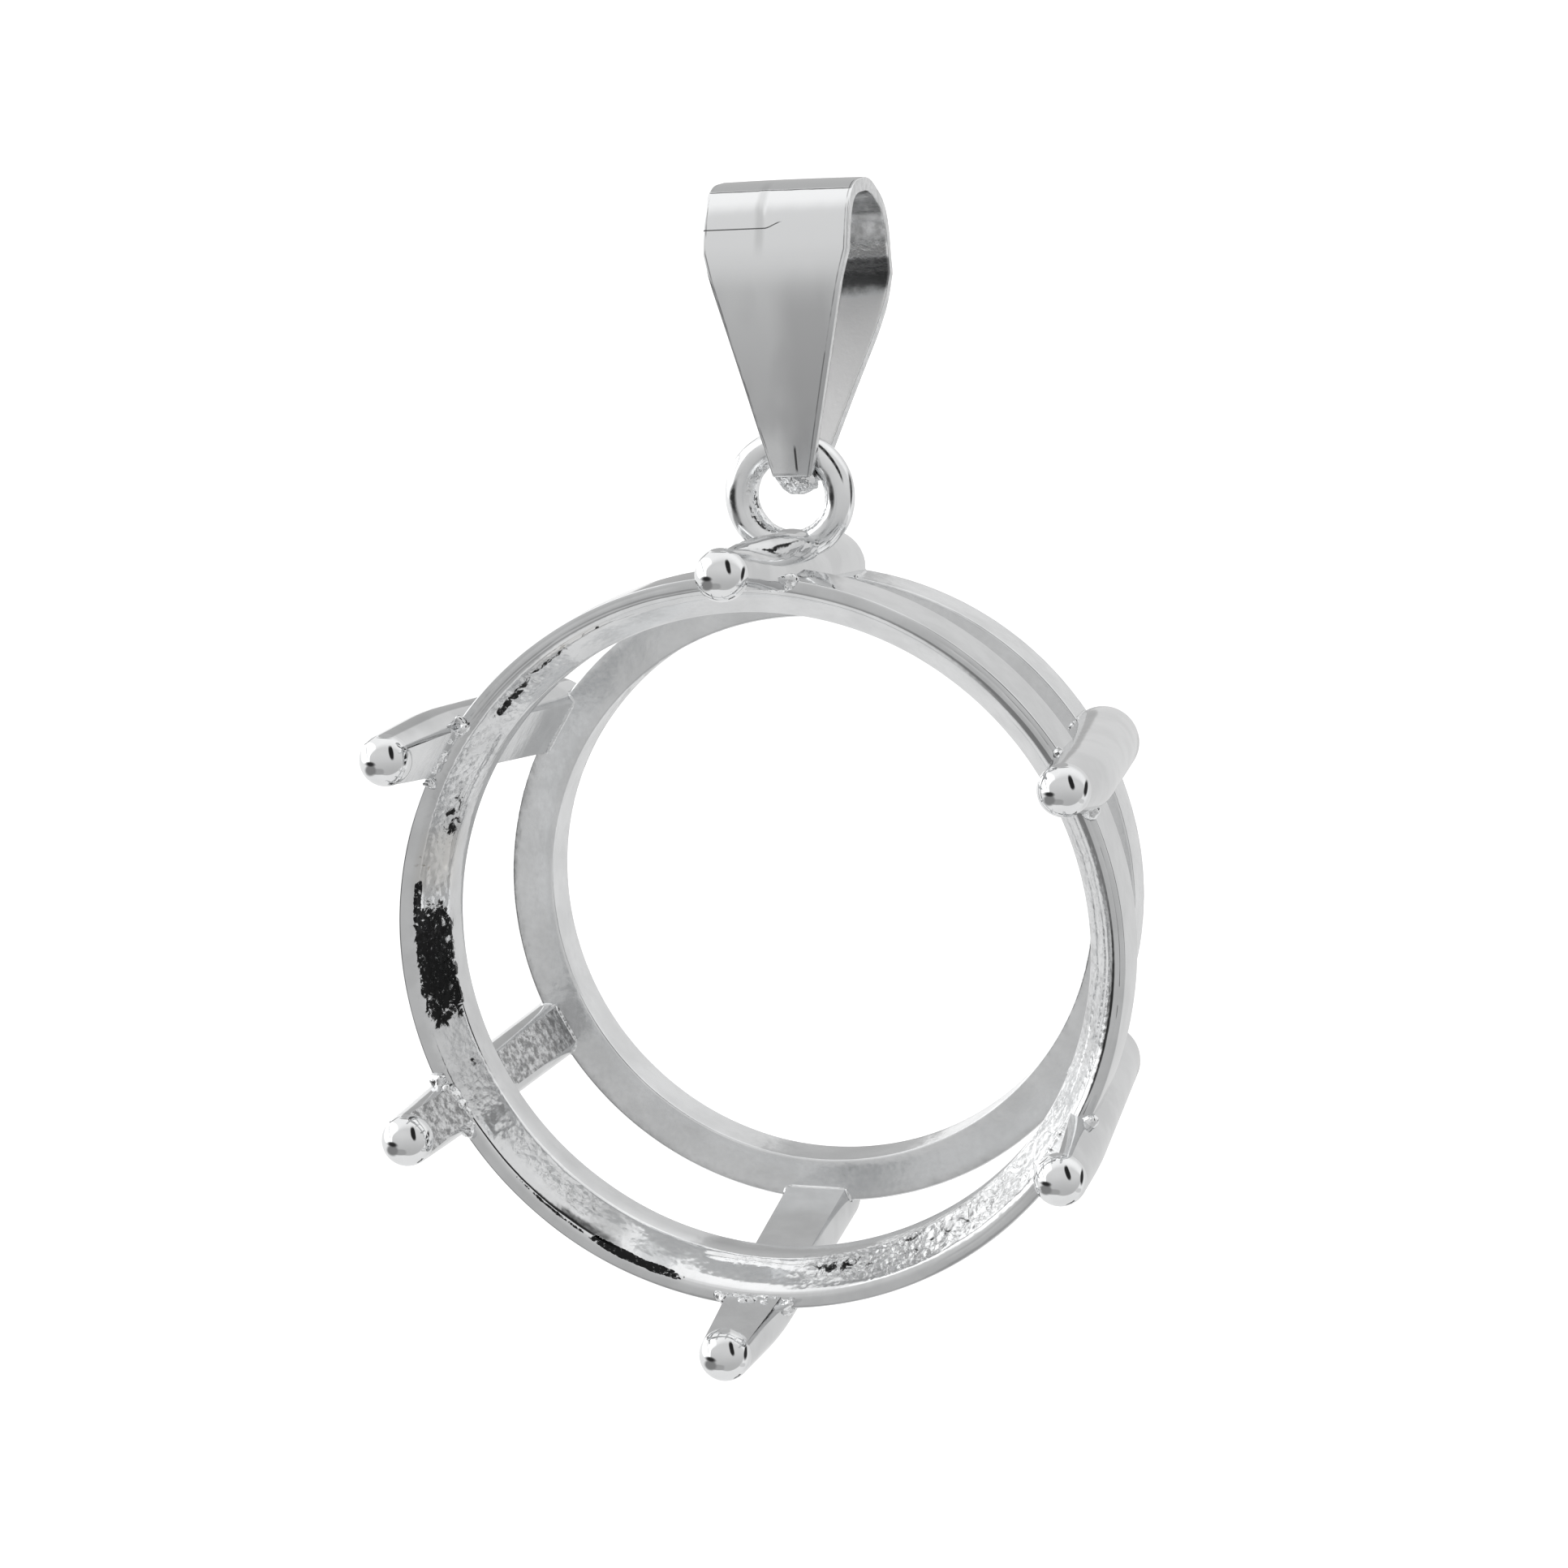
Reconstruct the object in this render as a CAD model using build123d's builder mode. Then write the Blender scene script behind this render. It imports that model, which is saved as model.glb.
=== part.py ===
"""Round claw cup setting with a soldered jump ring and a folded bail, in millimetres.

The cup's axis runs along Y with its open, stone side at the front (-Y), and +Z is up.
The origin is the middle of the bail's round top, where a neck chain passes through along X.
"""
import os
from math import cos, radians, sin

from build123d import *

# Seat ring: the front ring that a round stone sits in
seat_ring_outer_r = 10.0
seat_ring_depth = 2.10
lip_width = 0.40
seat_width = 0.73
seat_depth = 1.03
lip_chamfer = 0.06
back_bevel_width = 0.12
back_bevel_depth = 0.35

# Rear ring: the plain ring behind it
ring_gap = 4.70
rear_ring_outer_r = 9.00
rear_ring_wall = 1.215
rear_ring_depth = 1.44
rear_ring_chamfer = 0.07

# Claws: six tapered rods, round outside and flat inside, with a ball on the front end
claw_reach = 2.70
claw_ball_r = 0.70
claw_tip_rod_r = 0.66
claw_stand_out = 1.00
tip_flat_offset = 0.38
root_flat_inset = 0.58
claw_end_round = 0.45
# Each claw is filed and bent a little by hand: the splay of its tip beyond the seat ring and the bend of
# its tip sideways, how far its shoulder bulges beyond the seat ring, what its root adds to the common
# stand-out, how far the rod lies to one side, and the rod's radius at the shoulder and at the root
claw_forms = (
    {"angle": 30, "splay": 0.33, "bend": 0.00, "bulge": 0.98, "root": 0.00, "aside": -0.20,
     "shoulder_r": 0.90, "root_r": 0.99},
    {"angle": 90, "splay": 0.46, "bend": -0.07, "bulge": 0.70, "root": 0.06, "aside": -0.20,
     "shoulder_r": 0.92, "root_r": 1.04},
    {"angle": 150, "splay": 0.64, "bend": 0.00, "bulge": 1.22, "root": 0.06, "aside": -0.12,
     "shoulder_r": 0.92, "root_r": 1.04},
    {"angle": 210, "splay": 0.29, "bend": -0.13, "bulge": 0.94, "root": -0.10, "aside": -0.12,
     "shoulder_r": 0.79, "root_r": 0.86},
    {"angle": 270, "splay": 0.44, "bend": -0.27, "bulge": 1.10, "root": 0.06, "aside": -0.20,
     "shoulder_r": 0.92, "root_r": 1.04},
    {"angle": 330, "splay": 0.16, "bend": 0.00, "bulge": 0.80, "root": 0.20, "aside": -0.10,
     "shoulder_r": 0.90, "root_r": 1.02},
)
top_claw = claw_forms[1]

# Jump ring: soldered on the top claw, at the depth where the cup hangs level
jump_wire_r = 0.415
jump_hole_r = 0.945
jump_ring_depth = 3.62
jump_ring_side = 0.25
jump_ring_sink = 0.56

# Bail: one strip folded over the chain and closed below with solder
bail_strip = 0.38
bail_top_r = 2.45
bail_drop = 4.66
bail_half_width = 1.97
bail_shoulder = 0.20
bail_throat_clearance = 0.085
bail_side_play = 0.22
bail_lean = 13.0
bail_askew = 2.4
closure_half_width = 0.50
closure_half_depth = 0.45
closure_drop = 0.92

# Room for the jump ring as it swings in the bail's throat
swing_clearance = 0.07
swing_relief = 125.0

# Sizes that follow
seat_mouth_r = seat_ring_outer_r - lip_width
bore_r = seat_mouth_r - seat_width
cup_depth = seat_ring_depth + ring_gap + rear_ring_depth
rear_ring_inner_r = rear_ring_outer_r - rear_ring_wall
jump_mid_r = jump_hole_r + jump_wire_r
jump_outer_r = jump_mid_r + jump_wire_r
throat_r = jump_wire_r + bail_throat_clearance


def claw_reaches(form):
    """How far a claw's back stands from the cup's axis, at its shoulder and at its root."""
    return seat_ring_outer_r + form["bulge"], rear_ring_outer_r + claw_stand_out + form["root"]


# The bail's own directions, leaning back and hanging a little askew
lean = radians(bail_lean)
askew = radians(bail_askew)
bail_across = Vector(cos(askew), 0, sin(askew))
bail_up = Vector(-cos(lean) * sin(askew), sin(lean), cos(lean) * cos(askew))
bail_front = bail_across.cross(bail_up)
bail_face_plane = Plane(origin=(0, 0, 0), x_dir=bail_across, z_dir=bail_front)
bail_side_plane = Plane(origin=(0, 0, 0), x_dir=-bail_front, z_dir=bail_across)

# Places: the swing's pivot, the jump ring's middle and the middle of the seat ring's front
pivot = bail_up * -bail_drop
jump_centre = pivot + Vector(-bail_side_play, 0, -jump_mid_r)
top_shoulder_reach, top_root_reach = claw_reaches(top_claw)
claw_back_r = top_shoulder_reach + (top_root_reach - top_shoulder_reach) * jump_ring_depth / cup_depth
jump_height = claw_back_r + jump_outer_r - jump_ring_sink
cup_centre = jump_centre + Vector(-jump_ring_side, -jump_ring_depth, -jump_height)
cup_axis = Axis(cup_centre, (0, 1, 0))


def ring_section_plane():
    """Plane of a ring's section: x is the radius and y the depth behind the front face."""
    return Plane(origin=cup_centre, x_dir=(1, 0, 0), z_dir=(0, 0, 1))


def make_claw(form):
    """One claw: from its ball the rod swells to a shoulder at the seat ring, then leans in to its root."""
    turn = radians(form["angle"])
    radial = Vector(cos(turn), 0, sin(turn))
    tangent = Vector(-sin(turn), 0, cos(turn))
    tip_axis_r = seat_ring_outer_r + form["splay"]
    shoulder_reach, root_reach = claw_reaches(form)
    tip_middle = cup_centre + radial * tip_axis_r + tangent * form["bend"] - Vector(0, claw_reach, 0)
    rod_line = cup_centre + tangent * form["aside"]
    shoulder_middle = rod_line + radial * (shoulder_reach - form["shoulder_r"])
    root_middle = rod_line + radial * (root_reach - form["root_r"]) + Vector(0, cup_depth, 0)
    tip_flat_r = tip_axis_r - tip_flat_offset
    root_flat_r = rear_ring_outer_r - root_flat_inset
    cut_away = 2 * form["root_r"]
    sections = (
        (tip_middle, claw_tip_rod_r),
        (shoulder_middle, form["shoulder_r"]),
        (root_middle, form["root_r"]),
    )
    with BuildPart() as claw:
        for middle, rod_r in sections:
            with BuildSketch(Plane(origin=middle, x_dir=radial, z_dir=(0, 1, 0))):
                Circle(rod_r)
        loft(ruled=True)
        fillet(claw.edges().group_by(Axis.Y)[-1], claw_end_round)
        # The flat inner face
        with BuildSketch(Plane(origin=cup_centre, x_dir=radial, z_dir=tangent)):
            with BuildLine():
                Polyline(
                    (tip_flat_r, -claw_reach),
                    (root_flat_r, cup_depth),
                    (root_flat_r - cut_away, cup_depth),
                    (tip_flat_r - cut_away, -claw_reach),
                    close=True,
                )
            make_face()
        extrude(amount=cut_away, both=True, mode=Mode.SUBTRACT)
        with Locations(tip_middle):
            Sphere(claw_ball_r)
    return claw.part


claws = [make_claw(form) for form in claw_forms]

with BuildPart() as cup_setting:
    # Seat ring, with its conical seat inside the lip
    with BuildSketch(ring_section_plane()):
        with BuildLine():
            Polyline(
                (bore_r, seat_depth),
                (seat_mouth_r, 0),
                (seat_ring_outer_r - lip_chamfer, 0),
                (seat_ring_outer_r, lip_chamfer),
                (seat_ring_outer_r, seat_ring_depth - back_bevel_depth),
                (seat_ring_outer_r - back_bevel_width, seat_ring_depth),
                (bore_r, seat_ring_depth),
                close=True,
            )
        make_face()
    revolve(axis=cup_axis)
    # Rear ring
    rear_middle = (rear_ring_outer_r - rear_ring_wall / 2, cup_depth - rear_ring_depth / 2)
    with BuildSketch(ring_section_plane()) as rear_section:
        with Locations(rear_middle):
            Rectangle(rear_ring_wall, rear_ring_depth)
        chamfer(rear_section.vertices(), rear_ring_chamfer)
    revolve(axis=cup_axis)
    add(claws)
    # Jump ring on the top claw
    with BuildSketch(Plane(origin=jump_centre, x_dir=(1, 0, 0), z_dir=(0, 0, 1))):
        with Locations((jump_mid_r, 0)):
            Circle(jump_wire_r)
    revolve(axis=Axis(jump_centre, (0, 1, 0)))
cup_setting.part.label = "cup_setting"

# Bail: heights are measured from the chain passage, so the pivot lies at -bail_drop
pivot_height = -bail_drop
closure_height = pivot_height - closure_drop
with BuildPart() as bail:
    with BuildSketch(bail_side_plane):
        with BuildSketch(bail_side_plane, mode=Mode.PRIVATE) as outer_rounds:
            Circle(bail_top_r)
            with Locations((0, pivot_height)):
                Circle(throat_r + bail_strip)
            with Locations((0, closure_height)):
                Circle(closure_half_depth)
        make_hull(outer_rounds.edges())
    extrude(amount=bail_half_width, both=True)
    with BuildSketch(bail_side_plane):
        with BuildSketch(bail_side_plane, mode=Mode.PRIVATE) as inner_rounds:
            Circle(bail_top_r - bail_strip)
            with Locations((0, pivot_height)):
                Circle(throat_r)
        make_hull(inner_rounds.edges())
    extrude(amount=bail_half_width, both=True, mode=Mode.SUBTRACT)
    # The strip's outline from the front: even above the shoulders, tapering to the closure
    with BuildSketch(bail_face_plane):
        with BuildSketch(bail_face_plane, mode=Mode.PRIVATE) as face_outline:
            with Locations((0, (bail_shoulder + bail_top_r) / 2)):
                Rectangle(2 * bail_half_width, bail_top_r - bail_shoulder)
            with Locations((0, closure_height)):
                Circle(closure_half_width)
        make_hull(face_outline.edges())
    extrude(amount=bail_top_r, both=True, mode=Mode.INTERSECT)
    # Relief inside the throat, swept by the jump ring as it swings about the pivot
    sweep_start = radians(-swing_relief - bail_lean)
    start_direction = Vector(0, sin(sweep_start), -cos(sweep_start))
    swing_axis = Axis(pivot, (1, 0, 0))
    relief_plane = Plane(origin=pivot, x_dir=(1, 0, 0), z_dir=Vector(1, 0, 0).cross(start_direction))
    relief_reach = 2 * (jump_outer_r + swing_clearance)
    with BuildSketch(relief_plane):
        with Locations((-bail_side_play, jump_mid_r)):
            Circle(jump_outer_r + swing_clearance)
            Circle(jump_hole_r - swing_clearance, mode=Mode.SUBTRACT)
        with Locations((0, relief_reach / 2)):
            Rectangle(2 * relief_reach, relief_reach, mode=Mode.INTERSECT)
    revolve(axis=swing_axis, revolution_arc=2 * swing_relief, mode=Mode.SUBTRACT)
bail.part.label = "bail"

os.makedirs("parts", exist_ok=True)
export_step(cup_setting.part, "parts/cup_setting.step")
export_step(bail.part, "parts/bail.step")

for piece in (cup_setting.part, bail.part):
    box = piece.bounding_box()
    middle = piece.center(CenterOf.MASS)
    print(piece.label, "volume", round(piece.volume, 2), "solids", len(piece.solids()),
          "from", tuple(round(v, 3) for v in box.min), "to", tuple(round(v, 3) for v in box.max),
          "centre", tuple(round(v, 3) for v in middle))
print("pivot", tuple(round(v, 3) for v in pivot))
print("jump ring centre", tuple(round(v, 3) for v in jump_centre))
print("cup centre", tuple(round(v, 3) for v in cup_centre))
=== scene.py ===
"""Round claw cup setting with a soldered jump ring and a folded bail, dressed for its picture.

Places are in millimetres, in the frame of the solids, and each mesh is brought to metres at its end.
"""
import random
from collections import namedtuple
from functools import partial
from math import acos, atan2, copysign, cos, degrees, exp, hypot, pi, radians, sin, sqrt, tan

import bmesh
import bpy
from mathutils import Matrix, Vector, noise
from mathutils.bvhtree import BVHTree


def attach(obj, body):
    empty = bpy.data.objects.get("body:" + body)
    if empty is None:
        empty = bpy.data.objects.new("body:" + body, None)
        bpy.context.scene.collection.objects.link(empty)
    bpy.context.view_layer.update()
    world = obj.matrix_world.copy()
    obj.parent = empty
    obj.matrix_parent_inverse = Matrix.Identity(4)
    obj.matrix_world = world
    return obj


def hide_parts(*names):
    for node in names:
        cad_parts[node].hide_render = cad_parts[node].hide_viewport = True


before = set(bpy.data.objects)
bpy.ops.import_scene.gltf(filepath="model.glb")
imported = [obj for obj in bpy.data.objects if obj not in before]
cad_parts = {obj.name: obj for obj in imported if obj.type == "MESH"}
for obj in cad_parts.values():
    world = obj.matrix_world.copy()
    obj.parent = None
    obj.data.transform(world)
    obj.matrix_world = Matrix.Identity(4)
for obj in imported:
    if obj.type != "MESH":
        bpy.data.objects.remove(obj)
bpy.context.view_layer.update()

MM = 0.001

# Sizes of the setting, as in its solids
SEAT_OUTER_R = 10.0
SEAT_RING_DEPTH = 2.10
SEAT_MOUTH_R = 9.60
BORE_R = 8.87
SEAT_DEPTH = 1.03
BACK_BEVEL_WIDTH = 0.12
BACK_BEVEL_DEPTH = 0.35
RING_GAP = 4.70
REAR_OUTER_R = 9.00
REAR_WALL = 1.215
REAR_DEPTH = 1.44
CLAW_REACH = 2.70
CLAW_BALL_R = 0.70
CLAW_STAND_OUT = 1.00
TIP_FLAT_OFFSET = 0.38
ROOT_FLAT_INSET = 0.58
CLAW_END_ROUND = 0.45
Claw = namedtuple("Claw", "angle splay bend bulge root aside shoulder_r root_r")
CLAWS = (
    Claw(30, 0.33, 0.00, 0.98, 0.00, -0.20, 0.90, 0.99),
    Claw(90, 0.46, -0.07, 0.70, 0.06, -0.20, 0.92, 1.04),
    Claw(150, 0.64, 0.00, 1.22, 0.06, -0.12, 0.92, 1.04),
    Claw(210, 0.29, -0.13, 0.94, -0.10, -0.12, 0.79, 0.86),
    Claw(270, 0.44, -0.27, 1.10, 0.06, -0.20, 0.92, 1.04),
    Claw(330, 0.16, 0.00, 0.80, 0.20, -0.10, 0.90, 1.02),
)
TOP_CLAW = CLAWS[1]
JUMP_WIRE_R = 0.415
JUMP_HOLE_R = 0.945
BAIL_STRIP = 0.38
BAIL_TOP_R = 2.45
BAIL_DROP = 4.66
BAIL_HALF_WIDTH = 1.97
BAIL_SHOULDER = 0.20
THROAT_R = 0.50
CLOSURE_HALF_WIDTH = 0.50
CLOSURE_DROP = 0.92
BAIL_SIDE_PLAY = 0.22
BAIL_LEAN = 13.0
BAIL_ASKEW = 2.4

CUP_DEPTH = SEAT_RING_DEPTH + RING_GAP + REAR_DEPTH
JUMP_MID_R = JUMP_HOLE_R + JUMP_WIRE_R
CUP = Vector((-0.280, -4.668, -17.530))
JUMP = Vector((-0.030, -1.048, -5.897))
PIVOT = Vector((0.190, -1.048, -4.537))


def tangent_angle(big_r, small_r, drop):
    """Turn of the line that touches two circles, one below the other."""
    return acos((big_r - small_r) / drop)


TAPER_DROP = BAIL_DROP + CLOSURE_DROP + BAIL_SHOULDER
TAPER_REACH = hypot(BAIL_HALF_WIDTH, TAPER_DROP)
BAIL_TAPER = tan(atan2(BAIL_HALF_WIDTH, TAPER_DROP) - pi / 2 + acos(CLOSURE_HALF_WIDTH / TAPER_REACH))

lean, askew = radians(BAIL_LEAN), radians(BAIL_ASKEW)
BAIL_ACROSS = Vector((cos(askew), 0, sin(askew)))
BAIL_UP = Vector((-cos(lean) * sin(askew), sin(lean), cos(lean) * cos(askew)))
BAIL_FRONT = BAIL_ACROSS.cross(BAIL_UP)

# The camera's own directions: towards it, and the picture's right and up
CAMERA_BACK = Vector((0.25440, -0.94596, 0.20111))
CAMERA_RIGHT = Vector((0.96648, 0.25614, -0.01778))
CAMERA_UP = Vector((-0.03469, 0.19889, 0.97941))
CAMERA_PLACE = Vector((31.137, -118.174, 11.088))
CAMERA_LENS = 104.62


# Materials


def put(tree, kind, settings=None, **inputs):
    """A node with its settings and its inputs, each a value or a socket to join."""
    made = tree.nodes.new("ShaderNode" + kind)
    for key, value in (settings or {}).items():
        setattr(made, key, value)
    for key, value in inputs.items():
        slot = made.inputs[int(key[1:])] if key[1:].isdigit() else made.inputs[key.replace("_", " ")]
        if isinstance(value, bpy.types.NodeSocket):
            tree.links.new(value, slot)
        else:
            slot.default_value = value
    return made


def sums(tree, kind, a, b=0.0, c=0.0):
    """One sum on numbers."""
    return put(tree, "Math", {"operation": kind}, i0=a, i1=b, i2=c).outputs[0]


def times(tree, *values):
    """All the values multiplied."""
    made = values[0]
    for value in values[1:]:
        made = sums(tree, "MULTIPLY", made, value)
    return made


def plus(tree, *values):
    """All the values added."""
    made = values[0]
    for value in values[1:]:
        made = sums(tree, "ADD", made, value)
    return made


def ramp(tree, value, low, high, bottom=0.0, top=1.0):
    """Runs smoothly from bottom to top as the value goes from low to high."""
    made = put(tree, "MapRange", {"interpolation_type": "SMOOTHSTEP"}, i0=value, i1=low, i2=high,
               i3=bottom, i4=top)
    return made.outputs[0]


def hill(tree, value, middle, half, soft):
    """1 where the value is within half of the middle, falling to 0 over the soft width outside."""
    off = sums(tree, "ABSOLUTE", sums(tree, "SUBTRACT", value, middle))
    return ramp(tree, off, half, half + soft, 1.0, 0.0)


def blend_value(tree, share, first, second):
    """Between two numbers."""
    return put(tree, "Mix", {"data_type": "FLOAT"}, i0=share, i2=first, i3=second).outputs[0]


def blend_colour(tree, share, first, second):
    """Between two colours."""
    return put(tree, "Mix", {"data_type": "RGBA"}, i0=share, i6=first, i7=second).outputs[2]


def grain(tree, place, scale, detail=3.0, roughness=0.55, distortion=0.0):
    """Noise about 0.5 in sizes of 1/scale millimetres."""
    return put(tree, "TexNoise", None, Vector=place, Scale=scale, Detail=detail, Roughness=roughness,
               Distortion=distortion).outputs[0]


def stretched(tree, place, scales):
    """Places with each direction stretched by its own scale."""
    return put(tree, "Mapping", None, Vector=place, Scale=scales).outputs[0]


def beads(tree, place, scale):
    """Low in the middle of each bead of froth and high between the beads."""
    made = put(tree, "TexVoronoi", {"feature": "SMOOTH_F1"}, Vector=place, Scale=scale, Smoothness=0.4)
    return made.outputs[0]


def start_material(name):
    """A metal material's tree, its shader, and places in millimetres on the piece."""
    made = bpy.data.materials.new(name)
    made.use_nodes = True
    tree = made.node_tree
    shader = tree.nodes["Principled BSDF"]
    shader.inputs["Metallic"].default_value = 1.0
    spot = put(tree, "TexCoord").outputs["Object"]
    place = put(tree, "VectorMath", {"operation": "SCALE"}, i0=spot, Scale=1 / MM).outputs[0]
    return made, tree, shader, place


def set_colour(tree, shader, colour):
    """Joins a colour to the shader."""
    tree.links.new(colour, shader.inputs["Base Color"])


def set_roughness(tree, shader, value):
    """Joins a roughness to the shader."""
    tree.links.new(value, shader.inputs["Roughness"])


def set_relief(tree, shader, *layers):
    """Relief of several heights, each with its depth in millimetres."""
    height = plus(tree, *[times(tree, value, depth) for value, depth in layers])
    made = put(tree, "Bump", None, Height=height, Distance=MM, Strength=1.0)
    tree.links.new(made.outputs[0], shader.inputs["Normal"])


def marks_on(tree):
    """What a piece's marks say of each place: how pitted or darkened by painted reflection, how frothy, how
    stained and how much painted highlight brightens it.
    """
    marks = put(tree, "Attribute", {"attribute_name": "marks"})
    split = put(tree, "SeparateColor", None, Color=marks.outputs["Color"])
    return *split.outputs[:3], marks.outputs["Alpha"]


def grey(value, warmth=0.0):
    """A silver's colour, slightly cool unless it is warmed."""
    return (value * (1 + warmth), value * (1.008 + 0.2 * warmth), value * (1.015 - warmth), 1)


SILVER = grey(0.87)
PLATED = grey(0.77)
PLATED_DIM = grey(0.69)
DARK_PIT = grey(0.02)


def polished_silver(name, dim, bright, roughest):
    """Bright plate over hand-polished silver, in faint waves."""
    made, tree, shader, place = start_material(name)
    cloud = grain(tree, place, 0.8, 2)
    set_colour(tree, shader, blend_colour(tree, ramp(tree, cloud, 0.35, 0.65), dim, bright))
    set_roughness(tree, shader, ramp(tree, grain(tree, place, 5, 4, 0.6), 0.3, 0.8, 0.07, roughest))
    set_relief(tree, shader, (cloud, 0.008))
    return made


def ball_silver():
    """The mirror-bright melted ends of the claws."""
    made, tree, shader, place = start_material("ball_silver")
    cloud = grain(tree, place, 1.5, 2)
    set_colour(tree, shader, blend_colour(tree, ramp(tree, cloud, 0.3, 0.7), grey(0.82), SILVER))
    set_roughness(tree, shader, ramp(tree, grain(tree, place, 6, 3), 0.35, 0.8, 0.05, 0.10))
    set_relief(tree, shader, (cloud, 0.010))
    return made


def satin_silver():
    """The rear ring: polished less, so that it mirrors softly and cloudily, with a few mottled places."""
    made, tree, shader, place = start_material("satin_silver")
    pitted = marks_on(tree)[0]
    cloud = grain(tree, place, 0.7, 3, 0.6)
    fine = grain(tree, place, 7, 4, 0.6)
    clean = blend_colour(tree, ramp(tree, cloud, 0.3, 0.7), grey(0.80), grey(0.90))
    mottle = times(tree, pitted, ramp(tree, grain(tree, place, 2.6, 4, 0.65), 0.42, 0.62))
    set_colour(tree, shader, blend_colour(tree, mottle, clean, grey(0.36)))
    set_roughness(tree, shader, ramp(tree, fine, 0.25, 0.75, 0.16, 0.27))
    waves = grain(tree, place, 1.6, 2)
    set_relief(tree, shader, (waves, 0.020), (fine, 0.004), (times(tree, pitted, fine), 0.012))
    return made


def filed_silver(name, mottling):
    """The claws' flats: crossed by fine file strokes and plated over, mottled where one stayed rough."""
    made, tree, shader, place = start_material(name)
    strokes = grain(tree, stretched(tree, place, (1.0, 11.0, 1.0)), 1.0, 3, 0.6, 0.3)
    cloud = grain(tree, place, 1.0, 3)
    clean = blend_colour(tree, ramp(tree, cloud, 0.3, 0.7), grey(0.78), grey(0.87))
    rough_noise = grain(tree, place, 5.0, 4, 0.65)
    mottle = times(tree, mottling, ramp(tree, rough_noise, 0.36, 0.62, 0.20, 1.0))
    set_colour(tree, shader, blend_colour(tree, mottle, clean, grey(0.28)))
    set_roughness(tree, shader, ramp(tree, strokes, 0.3, 0.75, 0.14, 0.24))
    set_relief(tree, shader, (strokes, 0.003), (cloud, 0.016), (rough_noise, 0.020 * mottling))
    return made


def solder_silver():
    """Solder: frothy beads that were plated over."""
    made, tree, shader, place = start_material("solder_silver")
    lumps = grain(tree, place, 5, 4, 0.6)
    set_colour(tree, shader, blend_colour(tree, ramp(tree, lumps, 0.28, 0.46), grey(0.50), SILVER))
    set_roughness(tree, shader, ramp(tree, lumps, 0.3, 0.7, 0.08, 0.18))
    set_relief(tree, shader, (lumps, 0.012), (beads(tree, place, 7.0), -0.016))
    return made


def cast_silver():
    """The seat ring. Its marks say where it is pitted or darkened by painted reflection, frothy, stained, and
    brightened by painted highlight.
    """
    made, tree, shader, place = start_material("cast_silver")
    pitted, frothy, stained, bright = marks_on(tree)
    fine = grain(tree, place, 8, 4, 0.62)
    blot = grain(tree, place, 3.4, 4, 0.62, 0.8)
    froth = beads(tree, place, 5.6)
    cloud = grain(tree, place, 0.9, 3)
    fleck = ramp(tree, grain(tree, place, 5.0, 5, 0.70, 0.5), 0.37, 0.42)
    reach = plus(tree, pitted, times(tree, sums(tree, "SUBTRACT", blot, 0.5), 1.1))
    black_spots = sums(tree, "MAXIMUM", fleck, ramp(tree, pitted, 0.80, 0.92))
    # Pits, and painted dark reflection where the seat marks paint the tent's dark patches that it would
    # mirror
    pits_and_dark_reflections = times(tree, ramp(tree, reach, 0.50, 0.58), black_spots)
    vein_noise = grain(tree, place, 1.5, 4, 0.6, 1.6)
    vein = ramp(tree, sums(tree, "ABSOLUTE", sums(tree, "SUBTRACT", vein_noise, 0.5)), 0.0, 0.014, 1.0, 0.0)
    vein = times(tree, vein, ramp(tree, frothy, 0.25, 0.9), 0.6)
    base = blend_colour(tree, ramp(tree, cloud, 0.3, 0.7), PLATED_DIM, PLATED)
    # Painted highlight: the base is brightened where the seat mirrors bright light
    base = blend_colour(tree, bright, base, grey(0.97))
    worn = blend_colour(tree, times(tree, ramp(tree, blot, 0.44, 0.68), frothy, 0.80), base, grey(0.40))
    stain = blend_colour(tree, ramp(tree, blot, 0.60, 0.70), grey(0.70, 0.035), grey(0.30, 0.15))
    warm = blend_colour(tree, stained, worn, stain)
    shade = sums(tree, "MAXIMUM", pits_and_dark_reflections, vein)
    black = blend_colour(tree, ramp(tree, fine, 0.60, 0.72), DARK_PIT, grey(0.22))
    set_colour(tree, shader, blend_colour(tree, shade, warm, black))
    set_roughness(tree, shader, blend_value(tree, frothy, 0.07, ramp(tree, fine, 0.3, 0.7, 0.09, 0.20)))
    set_relief(tree, shader, (cloud, 0.010), (times(tree, frothy, froth), -0.014),
               (times(tree, frothy, blot), 0.010), (times(tree, frothy, fine), 0.004), (shade, -0.006))
    return made


def bail_places(tree, place):
    """Distances along the bail's own directions: across, to its front and up."""
    return [put(tree, "VectorMath", {"operation": "DOT_PRODUCT"}, i0=place, i1=way).outputs["Value"]
            for way in (BAIL_ACROSS, BAIL_FRONT, BAIL_UP)]


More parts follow.
